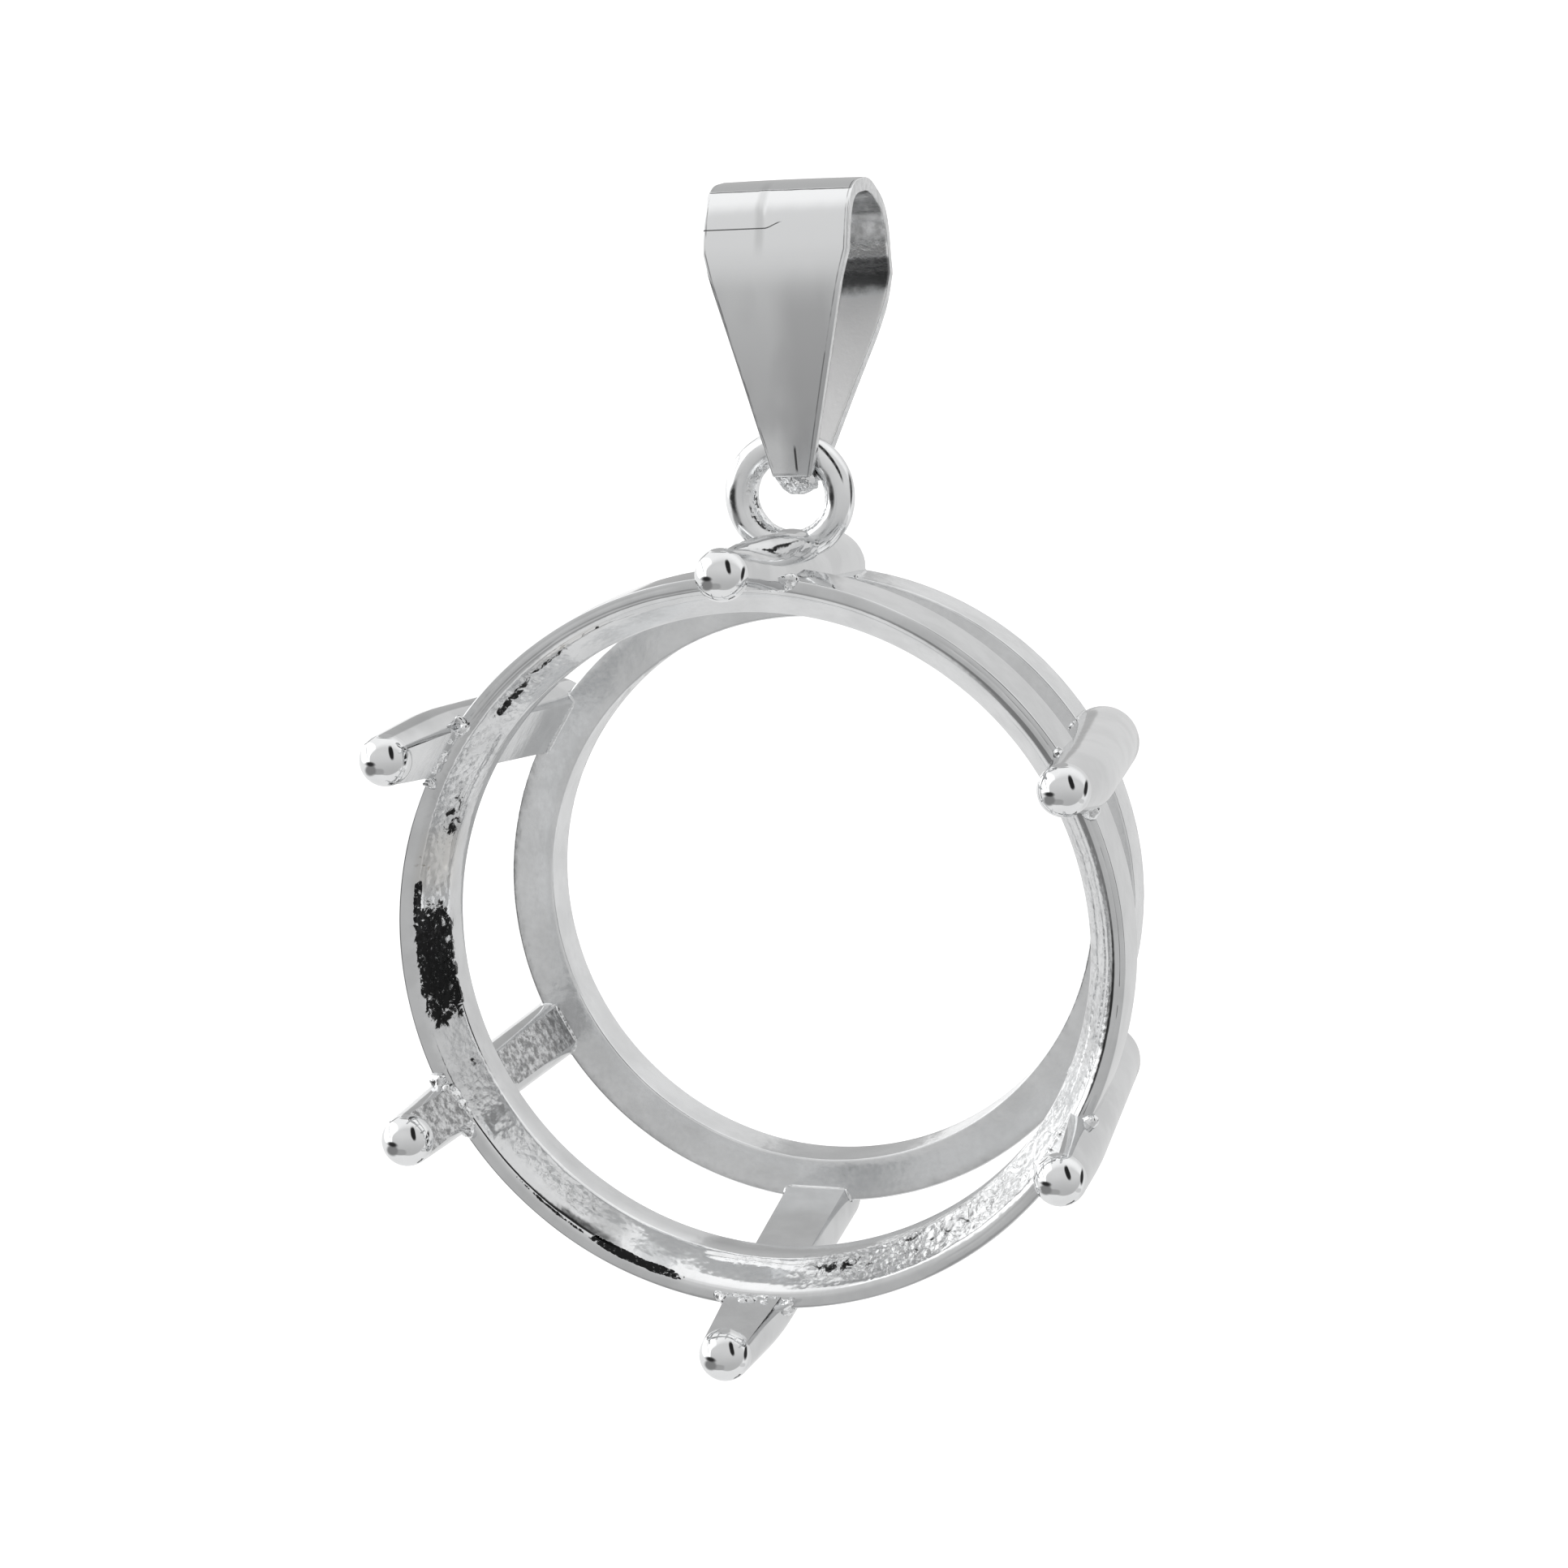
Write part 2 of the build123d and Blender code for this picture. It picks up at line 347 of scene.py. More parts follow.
def bail_silver():
    """The bail's outer face: mirror-bright and clouded lower down, with a scratch, a soft dent and a nick;
    painted shade darkens it lower down, a painted shadow lies on its right, a painted highlight brightens its
    lower left, and painted dark reflection lines run along its rounded edges.
    """
    made, tree, shader, place = start_material("bail_silver")
    across, front, up = bail_places(tree, place)
    on_front = ramp(tree, front, 0.2, 0.5)
    cloud = grain(tree, stretched(tree, place, (0.9, 0.5, 0.4)), 1.0, 2)
    # Painted shade: the face turns darker lower down
    low = ramp(tree, up, 0.9, -3.4)
    plate = blend_colour(tree, low, SILVER, grey(0.70))
    # Painted shadow on the right of the lower plate
    shadow = times(tree, hill(tree, across, 0.85, 0.35, 0.8), hill(tree, up, -3.1, 1.6, 1.4), on_front, 0.50)
    plate = blend_colour(tree, shadow, plate, grey(0.44))
    # Painted highlight at the lower left
    sheen = times(tree, ramp(tree, across, 0.25, -0.35), ramp(tree, up, -4.0, -5.0), on_front)
    plate = blend_colour(tree, sheen, plate, grey(0.97))
    wear = times(tree, ramp(tree, cloud, 0.45, 0.65), low, 0.25)
    plate = blend_colour(tree, wear, plate, grey(0.50))
    dent = times(tree, hill(tree, across, -0.42, 0.03, 0.16), hill(tree, up, 1.15, 0.55, 0.7), on_front)
    plate = blend_colour(tree, times(tree, dent, 0.30), plate, grey(0.40))
    hooked = plus(tree, up, times(tree, ramp(tree, across, -0.30, 0.18), -0.16))
    scratch = times(tree, hill(tree, hooked, 0.82, 0.008, 0.016), ramp(tree, across, 0.20, 0.05),
                    on_front, 0.85)
    nick = times(tree, hill(tree, across, 0.15, 0.012, 0.03), hill(tree, up, -5.13, 0.22, 0.16),
                 on_front, 0.85)
    cut = sums(tree, "MAXIMUM", scratch, nick)
    taper = times(tree, sums(tree, "MAXIMUM", sums(tree, "SUBTRACT", BAIL_SHOULDER, up), 0.0), BAIL_TAPER)
    inset = sums(tree, "SUBTRACT", BAIL_HALF_WIDTH, plus(tree, sums(tree, "ABSOLUTE", across), taper))
    # Painted reflection: a thin dark line along the rounded edges, where the bevel would mirror something
    # dark
    rim = times(tree, hill(tree, inset, 0.085, 0.006, 0.020), ramp(tree, grain(tree, place, 1.2), 0.35, 0.6),
                0.75)
    plate = blend_colour(tree, rim, plate, grey(0.16))
    set_colour(tree, shader, blend_colour(tree, cut, plate, DARK_PIT))
    set_roughness(tree, shader, ramp(tree, up, 1.9, 1.2, 0.07, 0.16))
    fine = grain(tree, place, 7, 3)
    set_relief(tree, shader, (cloud, 0.020), (cut, -0.010), (dent, -0.012), (fine, 0.0006))
    return made


def bail_inner_silver():
    """The bail's inner face: never polished, so dull, smudged and scratched, with a painted highlight band
    near its top, a painted shade band below that, and painted light brightening its lower part.
    """
    made, tree, shader, place = start_material("bail_inner_silver")
    up = bail_places(tree, place)[2]
    smudge = grain(tree, place, 2.2, 4, 0.62)
    # Painted highlight band high up, painted light lower down, and a painted shade band between them
    painted_highlight_band = times(tree, hill(tree, up, 0.75, 0.08, 0.22), 0.7)
    painted_light_low = ramp(tree, up, -0.2, -1.0, 0.0, 1.6)
    painted_shade_band = times(tree, hill(tree, up, 0.25, 0.25, 0.30), -0.6)
    smudges = times(tree, sums(tree, "SUBTRACT", smudge, 0.5), 1.2)
    tone = plus(tree, 0.50, painted_highlight_band, painted_light_low, painted_shade_band, smudges)
    set_colour(tree, shader, blend_colour(tree, ramp(tree, tone, 0.0, 1.0), grey(0.22), grey(1.00)))
    set_roughness(tree, shader, ramp(tree, up, 0.2, -1.2, 0.20, 0.60))
    set_relief(tree, shader, (smudge, 0.014), (grain(tree, place, 9, 3), 0.003))
    return made


# Shapes

# Points nearer than this are one
TOUCHING = 1e-5


def limited(value):
    """The value, kept between 0 and 1."""
    return min(1.0, max(0.0, value))


def bead_noise(spot, size, seed=0.0):
    """Noise from about -1 to 1 in lumps of that size."""
    return noise.noise(spot / size + Vector((seed, 2.3 * seed, -1.7 * seed)))


def finish(name, shape, material, body="cup_setting", sharp=32.0):
    """Makes a piece of a mesh in millimetres, hangs it on its body's empty and hides the solid of that body.
    """
    bmesh.ops.recalc_face_normals(shape, faces=shape.faces)
    if shape.calc_volume(signed=True) < 0:
        bmesh.ops.reverse_faces(shape, faces=shape.faces)
    bmesh.ops.scale(shape, vec=(MM, MM, MM), verts=shape.verts)
    mesh = bpy.data.meshes.new(name)
    shape.to_mesh(mesh)
    shape.free()
    mesh.materials.append(material)
    for face in mesh.polygons:
        face.use_smooth = True
    mesh.set_sharp_from_angle(angle=radians(sharp))
    piece = bpy.data.objects.new(name, mesh)
    bpy.context.scene.collection.objects.link(piece)
    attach(piece, body)
    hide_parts(body)
    return piece


def mark(piece, strengths):
    """Says at each point of a piece how pitted or darkened by painted reflection, how frothy, how stained and
    how much painted highlight brightens it.
    """
    layer = piece.data.color_attributes.new("marks", "FLOAT_COLOR", "POINT")
    for dot, colour in zip(piece.data.vertices, layer.data):
        colour.color = strengths(dot.co / MM)


def spare(shape):
    """A helper object of a mesh in millimetres, for a modifier to work on."""
    mesh = bpy.data.meshes.new("spare")
    shape.to_mesh(mesh)
    shape.free()
    piece = bpy.data.objects.new("spare", mesh)
    bpy.context.scene.collection.objects.link(piece)
    return piece


def taken(piece):
    """The helper's mesh with its modifiers worked in. The helper is cleared away."""
    graph = bpy.context.evaluated_depsgraph_get()
    worked = bpy.data.meshes.new_from_object(piece.evaluated_get(graph))
    shape = bmesh.new()
    shape.from_mesh(worked)
    bpy.data.objects.remove(piece)
    return shape


def add_into(shape, other):
    """Puts a second mesh into the first, as it is."""
    mesh = bpy.data.meshes.new("carried")
    other.to_mesh(mesh)
    other.free()
    shape.from_mesh(mesh)
    bpy.data.meshes.remove(mesh)
    return shape


def add_bead(shape, middle, sizes, turn=None):
    """Puts an egg-shaped bead into a mesh, with its half sizes, along its own directions if turned."""
    bead = bmesh.new()
    bmesh.ops.create_uvsphere(bead, u_segments=16, v_segments=10, radius=1.0)
    bmesh.ops.scale(bead, vec=sizes, verts=bead.verts)
    if turn is not None:
        bmesh.ops.transform(bead, matrix=turn, verts=bead.verts)
    bmesh.ops.translate(bead, vec=middle, verts=bead.verts)
    return add_into(shape, bead)


def everything(shape):
    """All of a mesh, as an operator takes it."""
    return shape.verts[:] + shape.edges[:] + shape.faces[:]


def cut_off(shape, place, way):
    """Cuts a closed mesh by a plane, takes off the side that the way points to, and closes the cut."""
    cut = bmesh.ops.bisect_plane(shape, geom=everything(shape), dist=TOUCHING, plane_co=place, plane_no=way,
                                 clear_outer=True)
    rim = [e for e in cut["geom_cut"] if isinstance(e, bmesh.types.BMEdge)]
    if rim:
        bmesh.ops.contextual_create(shape, geom=rim)
    bmesh.ops.recalc_face_normals(shape, faces=shape.faces)


def ring_outline(corners, arc_steps=4):
    """A closed wire of a ring's section. A corner is its radius, its depth and how far it is rounded."""
    shape = bmesh.new()
    dots = [shape.verts.new(CUP + Vector((r, depth, 0))) for r, depth, _ in corners]
    shape.faces.new(dots)
    for dot, (_, _, rounding) in zip(dots, corners):
        bmesh.ops.bevel(shape, geom=[dot], offset=rounding, affect="VERTICES", segments=arc_steps,
                        profile=0.5, material=-1, clamp_overlap=True)
    bmesh.ops.delete(shape, geom=shape.faces[:], context="FACES_ONLY")
    return shape


def spun(shape, steps, middle):
    """Spins a closed wire all round an axis along the cup's depth."""
    bmesh.ops.spin(shape, geom=shape.verts[:] + shape.edges[:], cent=middle, axis=(0, 1, 0), dvec=(0, 0, 0),
                   angle=2 * pi, steps=steps, use_merge=True, use_duplicate=False)
    bmesh.ops.remove_doubles(shape, verts=shape.verts, dist=TOUCHING)
    bmesh.ops.recalc_face_normals(shape, faces=shape.faces)
    return shape


# How far the plain metal sinks under the solder, how near it counts as plain, and how soon that fades
PLAIN_SINK = 0.06
PLAIN_NEAR = 0.012
PLAIN_FADE = 0.030
# The finer lumps on the solder's lumps: their size and height as shares, and how far their noise is shifted
FINE_SIZE = 0.45
FINE_HEIGHT = 0.5
FINE_SHIFT = 2


def melted(shape, size, smooth_rounds, sink, lump, seed, lump_size, plain=None):
    """Runs the closed shapes of a mesh together as solder does, and smooths them.

    Where only the plain metal's own surface is left, it sinks out of sight beneath it.
    """
    piece = spare(shape)
    change = piece.modifiers.new("melt", "REMESH")
    change.mode, change.voxel_size = "VOXEL", size
    even = piece.modifiers.new("even", "SMOOTH")
    even.factor, even.iterations = 0.5, smooth_rounds
    made = taken(piece)
    made.normal_update()
    for dot, way in [(d, d.normal.copy()) for d in made.verts]:
        fine = FINE_HEIGHT * bead_noise(dot.co, FINE_SIZE * lump_size, seed + FINE_SHIFT)
        rough = bead_noise(dot.co, lump_size, seed) + fine
        under = 0.0
        if plain is not None:
            proud = limited((plain.find_nearest(dot.co)[3] - PLAIN_NEAR) / PLAIN_FADE)
            under = PLAIN_SINK * (1 - proud)
        dot.co += way * (lump * rough - sink - under)
    return made


def polar(spot):
    """Angle round the cup in degrees, radius, and depth behind the seat ring's front."""
    off = spot - CUP
    return degrees(atan2(off.z, off.x)) % 360, hypot(off.x, off.z), off.y


def turned_from(angle, middle):
    """How far an angle is from the middle of a stretch, from -180 to 180 degrees."""
    return (angle - middle + 180) % 360 - 180


SEAT_CORNERS = (
    (BORE_R, SEAT_DEPTH, 0.06),
    (SEAT_MOUTH_R, 0, 0.12),
    (SEAT_OUTER_R, 0, 0.045),
    (SEAT_OUTER_R, SEAT_RING_DEPTH - BACK_BEVEL_DEPTH, 0.07),
    (SEAT_OUTER_R - BACK_BEVEL_WIDTH, SEAT_RING_DEPTH, 0.07),
    (BORE_R, SEAT_RING_DEPTH, 0.06),
)
REAR_CORNERS = (
    (REAR_OUTER_R - REAR_WALL, CUP_DEPTH - REAR_DEPTH, 0.07),
    (REAR_OUTER_R, CUP_DEPTH - REAR_DEPTH, 0.07),
    (REAR_OUTER_R, CUP_DEPTH, 0.07),
    (REAR_OUTER_R - REAR_WALL, CUP_DEPTH, 0.07),
)

# Marks on the seat: angle, half its spread, place from the bore (0) to the lip (1), half its spread, strength
# Real pits, and painted reflection: the entries at 186, 175, 248 and 232 degrees paint the dark block and the
# dark band by the lip that the seat would mirror
PITS_AND_DARK_REFLECTIONS = (
    (186, 11.5, 0.46, 0.56, 0.95),
    (175, 4.5, 0.90, 0.13, 0.85),
    (160, 6, 0.36, 0.42, 0.47),
    (136, 6, 0.62, 0.15, 0.66),
    (127, 7, 0.72, 0.09, 0.58),
    (116, 8, 0.84, 0.05, 0.48),
    (204, 4, 0.35, 0.35, 0.44),
    (248, 9, 0.97, 0.15, 1.00),
    (232, 10, 1.01, 0.06, 0.66),
    (284, 8, 0.36, 0.26, 0.52),
    (297, 9, 0.36, 0.40, 0.44),
    (310, 8, 0.40, 0.40, 0.38),
)
FROTHY = (
    (152, 13, 0.45, 0.60, 0.50),
    (134, 8, 0.60, 0.34, 0.55),
    (186, 14, 0.50, 0.60, 0.30),
    (206, 8, 0.50, 0.60, 0.45),
    (226, 12, 0.35, 0.30, 0.45),
    (268, 7, 0.16, 0.14, 0.40),
    (284, 9, 0.35, 0.42, 0.90),
    (302, 18, 0.38, 0.50, 1.00),
    (324, 12, 0.45, 0.55, 0.60),
    (350, 16, 0.45, 0.60, 0.60),
    (12, 16, 0.45, 0.60, 0.50),
)
STAINED = ((168, 5.5, 0.50, 0.52, 0.9), (122, 8, 0.86, 0.10, 0.5))
# Painted highlights: the seat's colour is brightened where it mirrors the tent's bright light
PAINTED_HIGHLIGHTS = ((258, 24, 0.50, 0.80, 1.0), (222, 14, 0.50, 0.80, 0.7))
# Grooves on the seat: from and to an angle, place from the bore to the lip, wandering, half width and depth
GROOVES = (
    (345, 420, 1.34, 0.03, 0.030, 0.012),
    (300, 340, 1.20, 0.04, 0.035, 0.010),
    (92, 130, 0.84, 0.05, 0.040, 0.014),
    (96, 148, 1.16, 0.05, 0.045, 0.010),
    (100, 142, 1.38, 0.04, 0.040, 0.008),
    (258, 283, 0.20, 0.10, 0.050, 0.018),
    (338, 392, 0.42, 0.12, 0.050, 0.016),
    (345, 405, 0.78, 0.05, 0.040, 0.014),
    (140, 170, 0.22, 0.14, 0.060, 0.016),
)
# The seat rolls over a little towards the lip: where it starts, and how far it stands out there
ROLL_SHARE = 0.74
ROLL_HEIGHT = 0.010
# The ring is spun in these steps, and each is then split in three
SEAT_STEPS = 300
SEAT_STEP = 360 / SEAT_STEPS
STEP_CUTS = 2
# How often the cone, the lip and the other long sides of the ring's section are cut
LONG_SIDE = 0.2
CONE_CUTS = 19
LIP_CUTS = 8
SIDE_CUTS = 1
# How far the lip's middle stands out where it was filed round: angle, half its spread, height
LIP_ROUNDS = ((20, 52, 0.030), (318, 22, 0.022), (112, 34, 0.016), (262, 22, 0.012))
# The lip's middle and half its width, as places beyond the seat
LIP_PLACE = 1.28
LIP_HALF = 0.26
# A mark ends at this many times its half spread, and a groove runs out over these degrees
MARK_END = 1.8
GROOVE_END = 4
GROOVE_WANDER_SIZE = 1.1
# The least froth on the seat, and what is added everywhere
FROTH_LEAST = 0.05
FROTH_ADDED = 0.03
EDGE_ROOM = 0.10


def mark_strength(table, angle, share):
    """How strongly the table's marks cover a place on the seat."""
    most = 0.0
    for middle, spread, across, half, strength in table:
        away = turned_from(angle, middle)
        if abs(away) < MARK_END * spread:
            off = (away / spread) ** 4 + ((share - across) / half) ** 4
            most = max(most, strength * exp(-off))
    return most


def groove_depth(spot, angle, share):
    """How deep the grooves are at a place on the seat."""
    deepest = 0.0
    for start, end, across, wander, half, depth in GROOVES:
        for turned in (angle, angle + 360):
            if start < turned < end:
                line = across + wander * bead_noise(spot, GROOVE_WANDER_SIZE, across * 9)
                ends = min(1.0, (turned - start) / GROOVE_END, (end - turned) / GROOVE_END)
                deepest = max(deepest, depth * ends * exp(-((share - line) / half) ** 2))
    return deepest


def seat_share(r):
    """Place on the conical seat: 0 at the bore and 1 at the lip."""
    return (r - BORE_R) / (SEAT_MOUTH_R - BORE_R)


def lip_round(angle, share):
    """How far the lip stands out at a place."""
    most = 0.0
    for middle, spread, height in LIP_ROUNDS:
        away = turned_from(angle, middle) / spread
        most = max(most, height * exp(-away ** 4))
    return most * max(0.0, 1 - ((share - LIP_PLACE) / LIP_HALF) ** 2)


def on_seat(r, depth):
    """1 on the conical seat, fading out at its two edges."""
    if depth > SEAT_DEPTH + 0.06 or r > SEAT_MOUTH_R:
        return 0.0
    return min(1.0, max(0.0, 0.5 - abs(seat_share(r) - 0.5)) * 8)


def seat_marks(spot):
    """How pitted or darkened by painted reflection, frothy, stained and brightened by painted highlight the
    seat ring is at a place.
    """
    angle, r, depth = polar(spot)
    share = seat_share(r)
    on_front = 1.0 if depth < SEAT_DEPTH + EDGE_ROOM and r < SEAT_MOUTH_R + EDGE_ROOM else 0.0
    # pitted takes in painted dark reflections too, and bright is painted highlight
    pitted, frothy, stained, bright = (on_front * mark_strength(table, angle, share)
                                       for table in (PITS_AND_DARK_REFLECTIONS, FROTHY, STAINED, PAINTED_HIGHLIGHTS))
    frothy = max(FROTH_LEAST * on_front, frothy) + FROTH_ADDED
    return pitted, frothy, stained, bright * (r < SEAT_MOUTH_R)


def ends_pass(edge, test):
    """Whether both ends of an edge pass a test on their radius and depth."""
    return all(test(*polar(dot.co)[1:]) for dot in edge.verts)


def on_cone(r, depth):
    """Whether a place is on the seat or at its edge by the bore."""
    return on_seat(r, depth) > 0 or abs(r - BORE_R) < 0.2 and depth < SEAT_DEPTH + EDGE_ROOM


def make_seat_ring():
    """The front ring: a narrow lip, an as-cast conical seat and a short bore."""
    shape = ring_outline(SEAT_CORNERS, 6)
    long_sides = [e for e in shape.edges if e.calc_length() > LONG_SIDE]
    cone = [e for e in long_sides if ends_pass(e, on_cone)]
    lip = [e for e in shape.edges if ends_pass(e, lambda r, depth: depth < 0.01)]
    rest = [e for e in long_sides if e not in cone and e not in lip]
    for edges, cuts in ((cone, CONE_CUTS), (lip, LIP_CUTS), (rest, SIDE_CUTS)):
        bmesh.ops.subdivide_edges(shape, edges=edges, cuts=cuts)
    spun(shape, SEAT_STEPS, CUP)
    ring_way = [e for e in shape.edges if abs(polar(e.verts[0].co)[0] - polar(e.verts[1].co)[0]) > 0.01]
    bmesh.ops.subdivide_edges(shape, edges=ring_way, cuts=STEP_CUTS, use_grid_fill=True)
    for dot in shape.verts:
        angle, r, _ = polar(dot.co)
        bulge = cos(radians(angle % SEAT_STEP - SEAT_STEP / 2)) / cos(radians(SEAT_STEP / 2)) - 1
        dot.co += claw_directions(angle)[0] * r * bulge
    shape.normal_update()
    moved = []
    for dot in shape.verts:
        angle, r, depth = polar(dot.co)
        share, here = seat_share(r), on_seat(r, depth)
        shift = 0.006 * bead_noise(dot.co, 2.2, 5.0)
        if r > SEAT_MOUTH_R and depth < 0.1:
            shift += lip_round(angle, share) - groove_depth(dot.co, angle, share)
        if here:
            froth = mark_strength(FROTHY, angle, share)
            shift += here * froth * (0.005 * bead_noise(dot.co, 0.34) + 0.003 * bead_noise(dot.co, 0.15, 3.0))
            shift += here * 0.006 * bead_noise(dot.co, 0.9, 9.0)
            shift -= here * groove_depth(dot.co, angle, share)
            shift += ROLL_HEIGHT * min(share / ROLL_SHARE, (1 - share) / (1 - ROLL_SHARE))
        moved.append((dot, dot.normal * shift))
    for dot, shift in moved:
        dot.co += shift
    mark(finish("seat_ring", shape, CAST), seat_marks)


REAR_STEPS = 400
# The mottled place on the rear ring's inner wall: its middle and half its spread, round the cup and in depth
MOTTLED_ANGLE = 124
MOTTLED_SPREAD = 16
MOTTLED_DEPTH = CUP_DEPTH - 0.85
MOTTLED_HALF = 0.55


def rear_marks(spot):
    """How mottled the rear ring is: only on its inner wall at the upper left."""
    angle, r, depth = polar(spot)
    inner = (r < REAR_OUTER_R - REAR_WALL + 0.03) * exp(-((depth - MOTTLED_DEPTH) / MOTTLED_HALF) ** 4)
    return inner * exp(-((angle - MOTTLED_ANGLE) / MOTTLED_SPREAD) ** 4), 0.0, 0.0, 0.0


def make_rear_ring():
    """The plain ring behind."""
    shape = ring_outline(REAR_CORNERS)
    bmesh.ops.subdivide_edges(shape, edges=[e for e in shape.edges if e.calc_length() > 0.25], cuts=4)
    spun(shape, REAR_STEPS, CUP)
    shape.normal_update()
    for dot, way in [(d, d.normal.copy()) for d in shape.verts]:
        dot.co += way * (0.008 * bead_noise(dot.co, 2.4, 7.0) - 0.008)
    mark(finish("rear_ring", shape, SATIN), rear_marks)


def claw_directions(angle):
    """Outwards and sideways at an angle round the cup."""
    turn = radians(angle)
    return Vector((cos(turn), 0, sin(turn))), Vector((-sin(turn), 0, cos(turn)))


# How far before and behind the seat ring's front a claw's shoulder is rounded
SHOULDER_BLEND = 0.9


def claw_section(form, depth):
    """The rod at a depth: its middle's distance outwards and aside, and its radius."""
    tip = (SEAT_OUTER_R + form.splay, form.bend, CLAW_BALL_R)
    shoulder = (SEAT_OUTER_R + form.bulge - form.shoulder_r, form.aside, form.shoulder_r)
    root = (REAR_OUTER_R + CLAW_STAND_OUT + form.root - form.root_r, form.aside, form.root_r)
    blended = min(max(depth + SHOULDER_BLEND, 0.0), 2 * SHOULDER_BLEND) ** 2 / (4 * SHOULDER_BLEND)
    beyond = max(0.0, depth - SHOULDER_BLEND)
    values = []
    for first, middle, last in zip(tip, shoulder, root):
        fore, aft = (middle - first) / CLAW_REACH, (last - middle) / CUP_DEPTH
        values.append(middle + fore * depth + (aft - fore) * (blended + beyond))
    return values


def claw_back_r(form, depth):
    """How far a claw's back stands from the cup's axis at a depth."""
    out, _, rod_r = claw_section(form, depth)
    return out + rod_r


def flat_r(form, depth):
    """How far a claw's flat stands from the cup's axis at a depth."""
    tip, root = SEAT_OUTER_R + form.splay - TIP_FLAT_OFFSET, REAR_OUTER_R - ROOT_FLAT_INSET
    return tip + (root - tip) * (depth + CLAW_REACH) / (CUP_DEPTH + CLAW_REACH)


def claw_spot(form, out, aside, depth):
    """A place given by a claw's own directions."""
    outwards, sideways = claw_directions(form.angle)
    return CUP + outwards * out + sideways * aside + Vector((0, depth, 0))


# How finely a claw is made: rows on its ball, in the crease behind it and on its end, and points in a row
BALL_STEPS = 16
CREASE_STEPS = 8
END_STEPS = 7
ROD_POINTS = 64
# The flat takes this many points each way from its middle, and this is where they end
FLAT_POINTS = 9
FLAT_SPLIT = 2 * pi * FLAT_POINTS / ROD_POINTS
ROD_DEPTHS = (-1.9, -1.5, -0.9, -0.6, -0.3, 0.0, 0.3, 0.6, 0.9, 2.4, 4.2, 6.2)


def round_rod(turned, corner):
    """Where a point of a row comes round the rod: the flat's own points end at its corner."""
    if abs(turned) < FLAT_SPLIT:
        return turned / FLAT_SPLIT * corner
    past = (abs(turned) - FLAT_SPLIT) / (pi - FLAT_SPLIT)
    return copysign(corner + past * (pi - corner), turned)


def rod_spot(form, turned, depth, radius=None):
    """A place on the rod or its flat: turned is the angle from the flat's middle."""
    out, aside, rod_r = claw_section(form, depth)
    reach = rod_r if radius is None else radius
    offset = out - flat_r(form, depth)
    around = round_rod(turned, acos(min(offset / reach, 0.998)))
    if abs(turned) < FLAT_SPLIT:
        reach = min(reach, offset / cos(around))
    return claw_spot(form, out - reach * cos(around), aside + reach * sin(around), depth)


def ball_spot(form, turned, rise):
    """A place on the ball's front half: rise is 90 degrees at its very front."""
    out, aside, _ = claw_section(form, -CLAW_REACH)
    around = round_rod(turned, acos(TIP_FLAT_OFFSET / CLAW_BALL_R))
    reach = max(CLAW_BALL_R * cos(rise), 0.002)
    return claw_spot(form, out - reach * cos(around), aside + reach * sin(around),
                     -CLAW_REACH - CLAW_BALL_R * sin(rise))


def crease_spot(form, turned, share):
    """A place between the ball's middle and the crease where it meets the flat."""
    out, aside, _ = claw_section(form, -CLAW_REACH)
    around = min(abs(turned) / FLAT_SPLIT, 1.0) * acos(TIP_FLAT_OFFSET / CLAW_BALL_R)
    back = sqrt(max(CLAW_BALL_R ** 2 - (TIP_FLAT_OFFSET / cos(around)) ** 2, 0.0))
    depth = share * max(back, 0.02)
    on_rod = rod_spot(form, turned, -CLAW_REACH + depth)
    if abs(turned) >= FLAT_SPLIT - 0.001 or back < 0.03:
        return on_rod
    reach = sqrt(CLAW_BALL_R ** 2 - depth ** 2)
    around = copysign(around, turned)
    on_ball = claw_spot(form, out - reach * cos(around), aside + reach * sin(around), -CLAW_REACH + depth)
    outwards, _ = claw_directions(form.angle)
    return on_ball if (on_ball - on_rod).dot(outwards) < 0 else on_rod


